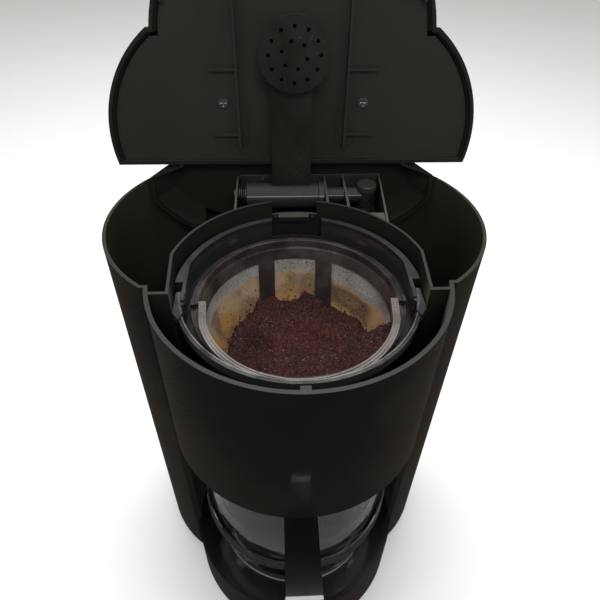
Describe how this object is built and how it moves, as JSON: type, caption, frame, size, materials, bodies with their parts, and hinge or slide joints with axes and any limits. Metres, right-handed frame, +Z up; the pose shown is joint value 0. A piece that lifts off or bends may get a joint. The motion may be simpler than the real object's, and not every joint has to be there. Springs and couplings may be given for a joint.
{
  "type": "drip coffee maker",
  "caption": "Filter coffee maker with a hinged lid that carries the hot water arm, a side and rear water tank, lift-out basket, permanent filter, and glass carafe on a warming plate.",
  "frame": {"origin": "on the table, on the vertical axis of the brew chamber, basket and carafe", "axes": "+Z up, +Y towards the back of the machine, +X to the right seen from the front"},
  "size_m": [0.2243, 0.261, 0.4601],
  "materials": {
    "housing": "gloss black",
    "inner_plastic": "satin black",
    "hinge_plastic": "satin dark grey",
    "rubber": "matt",
    "steel": "bright",
    "silicone": "translucent matt",
    "plate_coating": "satin non-stick coating",
    "aluminium": "cast",
    "white_plastic": "satin",
    "window_plastic": "clear",
    "basket_plastic": "smoke gloss",
    "filter_plastic": "brown smoke gloss",
    "filter_mesh": "fine woven mesh, stained",
    "bail_plastic": "satin warm grey",
    "carafe_glass": "clear"
  },
  "bodies": {
    "machine": {"base_shell": "housing", "base_plate": "inner_plastic", "foot_1": "rubber", "foot_2": "rubber", "foot_3": "rubber", "foot_4": "rubber", "base_screws": "steel", "plate_gasket": "silicone", "warming_plate": "plate_coating", "heater": "aluminium", "heater_clamp": "steel", "thermostat": "steel", "thermal_fuse": "white_plastic", "check_valve": "white_plastic", "supply_hose": "silicone", "cold_hose": "silicone", "hot_hose": "silicone", "riser_tube": "silicone", "riser_grommet": "rubber", "tank_strainer": "white_plastic", "terminal_block": "white_plastic", "cord_gland": "rubber", "switch_bezel": "inner_plastic", "switch_body": "inner_plastic", "tank_body": "housing", "brew_chamber": "housing", "rear_deck": "housing", "level_window": "window_plastic", "hinge_tray": "hinge_plastic", "hinge_pin": "steel", "hinge_spring": "steel", "swivel_tube": "hinge_plastic", "swivel_collar": "hinge_plastic", "swivel_seal": "rubber", "riser_cap": "hinge_plastic"},
    "lid": {"lid_shell": "housing", "lid_liner": "inner_plastic", "lid_screws": "steel", "hinge_barrel": "hinge_plastic", "water_arm": "hinge_plastic", "shower_head": "hinge_plastic"},
    "basket": {"filter_basket": "basket_plastic", "valve_cage": "basket_plastic"},
    "drip_stop": {"drip_plunger": "white_plastic", "valve_seal": "silicone", "valve_spring": "steel"},
    "filter": {"filter_frame": "filter_plastic", "filter_mesh": "filter_mesh", "filter_floor": "filter_mesh"},
    "bail": {"filter_bail": "bail_plastic"},
    "carafe": {"carafe_glass": "carafe_glass", "carafe_collar": "housing", "carafe_band": "steel", "carafe_handle": "housing", "handle_screw": "steel"},
    "carafe_lid": {"carafe_lid": "housing"},
    "rocker": {"power_rocker": "hinge_plastic"}
  },
  "joints": [
    {"name": "lid_hinge", "type": "hinge", "parent": "machine", "child": "lid", "pos_m": [0, 0.087, 0.294], "axis": [-1, 0, 0], "range_deg": [-94, 0]},
    {"name": "basket_lift", "type": "slide", "parent": "machine", "child": "basket", "axis": [0, 0, 1], "range_m": [0, 0.12]},
    {"name": "filter_lift", "type": "slide", "parent": "basket", "child": "filter", "axis": [0, 0, 1], "range_m": [0, 0.075]},
    {"name": "bail_swing", "type": "hinge", "parent": "filter", "child": "bail", "pos_m": [0, -0.004, 0.2822], "axis": [-1, 0, 0], "range_deg": [0, 95]},
    {"name": "drip_stop_push", "type": "slide", "parent": "basket", "child": "drip_stop", "axis": [0, 0, 1], "range_m": [0, 0.0035], "stiffness_N_per_m": 150, "springref_m": -0.003},
    {"name": "carafe_slide", "type": "slide", "parent": "machine", "child": "carafe", "axis": [0, -1, 0], "range_m": [0, 0.17]},
    {"name": "carafe_lid_turn", "type": "hinge", "parent": "carafe", "child": "carafe_lid", "pos_m": [0, 0, 0.17], "axis": [0, 0, 1], "range_deg": [0, 35]},
    {"name": "power_rock", "type": "hinge", "parent": "machine", "child": "rocker", "pos_m": [0, -0.073, 0.025], "axis": [0, 0, 1], "range_deg": [0, 12]}
  ]
}
